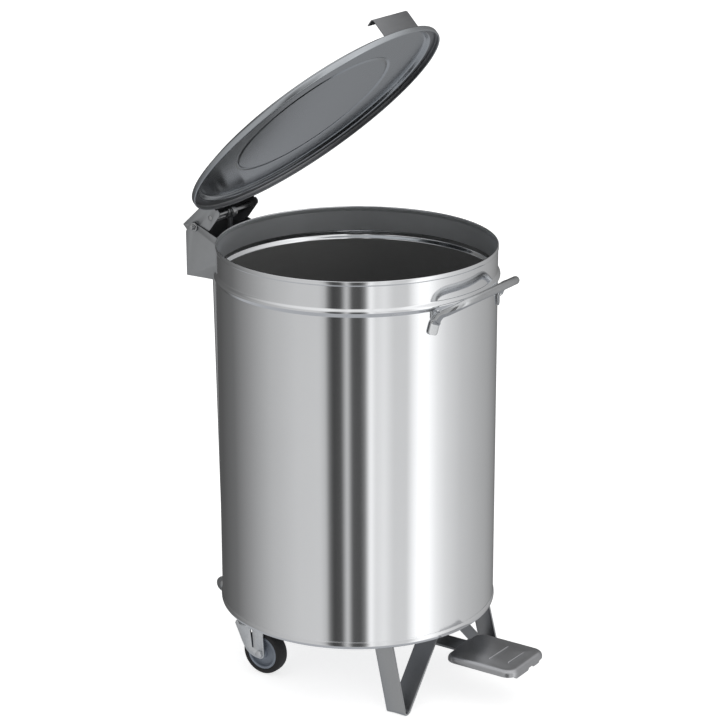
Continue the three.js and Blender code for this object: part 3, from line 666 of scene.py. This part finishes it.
def make_camera():
    away, height, pixels = 3.8, 1.7933, 2427.7
    pitch, yaw, roll = radians(18.308), radians(0.0704), radians(-0.1245)
    outward = Vector((sin(CAMERA_BEARING), -cos(CAMERA_BEARING), 0))
    right = Vector((cos(CAMERA_BEARING), sin(CAMERA_BEARING), 0))
    ahead = -outward * cos(yaw) + right * sin(yaw)
    right = right * cos(yaw) + outward * sin(yaw)
    view = ahead * cos(pitch) - Vector((0, 0, sin(pitch)))
    up = right.cross(view)
    right, up = right * cos(roll) + up * sin(roll), up * cos(roll) - right * sin(roll)
    data = bpy.data.cameras.new("camera")
    data.sensor_width = SENSOR_WIDTH
    data.lens = pixels * SENSOR_WIDTH / PICTURE_WIDTH
    data.clip_end = 60
    camera = bpy.data.objects.new("camera", data)
    turn = Matrix((right, up, -view)).transposed().to_4x4()
    place = outward * away + Vector((0, AXIS_Y * MM, height))
    camera.matrix_world = Matrix.Translation(place) @ turn
    bpy.context.scene.collection.objects.link(camera)
    bpy.context.scene.camera = camera


make_camera()

# ---------------------------------------------------------------- studio

# Light and dark areas around the object: bearing from the camera in degrees, brightness. The values
# were worked out from the brightness of the bands that the body reflects in the photograph, and then
# adjusted until the render's bands agreed with them.
PANELS = [
    (-180, 0.08), (-150, 0.09), (-122, 0.15), (-100, 0.29), (-75, 0.47), (-50, 0.58), (-31, 0.60),
    (-26, 0.50), (-23, 0.17), (-19.5, 0.055), (-13, 0.08), (-8.3, 0.58), (-4, 0.09), (2.5, 0.075),
    (6.3, 0.21), (10.5, 1.02), (15, 0.74), (22, 0.82), (30, 0.64), (41, 0.64), (47, 0.98), (53, 1.22),
    (60, 1.15), (69, 0.88), (78, 0.72), (95, 0.56), (115, 0.46), (135, 0.38), (155, 0.26), (172, 0.14),
    (180, 0.09),
]


def make_world():
    world = bpy.data.worlds.new("studio")
    bpy.context.scene.world = world
    world.use_nodes = True
    tree = world.node_tree
    tree.nodes.clear()
    place = add(tree, "ShaderNodeTexCoord")
    turn = add(tree, "ShaderNodeVectorRotate", rotation_type="Z_AXIS")
    turn.inputs["Angle"].default_value = -CAMERA_BEARING
    tree.links.new(place.outputs["Generated"], turn.inputs["Vector"])
    split = add(tree, "ShaderNodeSeparateXYZ")
    tree.links.new(turn.outputs["Vector"], split.inputs["Vector"])
    flip = add(tree, "ShaderNodeMath", operation="MULTIPLY")
    flip.inputs[1].default_value = -1
    tree.links.new(split.outputs["Y"], flip.inputs[0])
    bearing = add(tree, "ShaderNodeMath", operation="ARCTAN2")
    tree.links.new(split.outputs["X"], bearing.inputs[0])
    tree.links.new(flip.outputs[0], bearing.inputs[1])
    unit = add(tree, "ShaderNodeMapRange")
    unit.inputs["From Min"].default_value = -pi
    unit.inputs["From Max"].default_value = pi
    tree.links.new(bearing.outputs[0], unit.inputs["Value"])
    ramp = add(tree, "ShaderNodeValToRGB")
    elements = ramp.color_ramp.elements
    while len(elements) < len(PANELS):
        elements.new(0.5)
    for element, (angle, value) in zip(elements, PANELS):
        element.position = (angle + 180) / 360
        element.color = (value, value, value, 1)
    tree.links.new(unit.outputs["Result"], ramp.inputs["Fac"])
    # Directions that look down are a little brighter and, where steep, turn to one grey. Directions
    # that look steeply up turn to one pale tone.
    lifted = add(tree, "ShaderNodeMath", operation="MULTIPLY")
    tree.links.new(ramp.outputs["Color"], lifted.inputs[0])
    tree.links.new(ranged(tree, split.outputs["Z"], 1.0, 1.05, -0.30, -0.40), lifted.inputs[1])
    below = ranged(tree, split.outputs["Z"], 0.0, 1.0, -0.475, -0.62)
    above = ranged(tree, split.outputs["Z"], 0.0, 1.0, 0.45, 0.90)
    over_floor = add(tree, "ShaderNodeMix", data_type="RGBA")
    over_floor.inputs["B"].default_value = (0.42, 0.43, 0.45, 1)
    tree.links.new(below, over_floor.inputs["Factor"])
    tree.links.new(lifted.outputs[0], over_floor.inputs["A"])
    under_box = add(tree, "ShaderNodeMix", data_type="RGBA")
    under_box.inputs["B"].default_value = (0.95, 0.95, 0.95, 1)
    tree.links.new(above, under_box.inputs["Factor"])
    tree.links.new(over_floor.outputs["Result"], under_box.inputs["A"])
    lights = add(tree, "ShaderNodeBackground", Strength=1.0)
    tree.links.new(under_box.outputs["Result"], lights.inputs["Color"])
    plain = add(tree, "ShaderNodeBackground", Strength=1.0)
    plain.inputs["Color"].default_value = (1, 1, 1, 1)
    path = add(tree, "ShaderNodeLightPath")
    mix = add(tree, "ShaderNodeMixShader")
    tree.links.new(path.outputs["Is Camera Ray"], mix.inputs[0])
    tree.links.new(lights.outputs[0], mix.inputs[1])
    tree.links.new(plain.outputs[0], mix.inputs[2])
    out = add(tree, "ShaderNodeOutputWorld")
    tree.links.new(mix.outputs[0], out.inputs["Surface"])


make_world()


def make_floor():
    mat, _, shader = material("floor", (0.75, 0.75, 0.75), 0.9, 0.0)
    shader.inputs["Emission Color"].default_value = (1, 1, 1, 1)
    shader.inputs["Emission Strength"].default_value = 0.72
    mesh = bpy.data.meshes.new("floor")
    reach = 40
    mesh.from_pydata([(-reach, -reach, 0), (reach, -reach, 0), (reach, reach, 0), (-reach, reach, 0)], [],
                     [(0, 1, 2, 3)])
    mesh.materials.append(mat)
    floor = bpy.data.objects.new("floor", mesh)
    floor.location.z = -0.0005
    floor.visible_glossy = False
    bpy.context.scene.collection.objects.link(floor)


make_floor()

bpy.context.scene.view_settings.view_transform = "Standard"
bpy.context.scene.view_settings.look = "None"
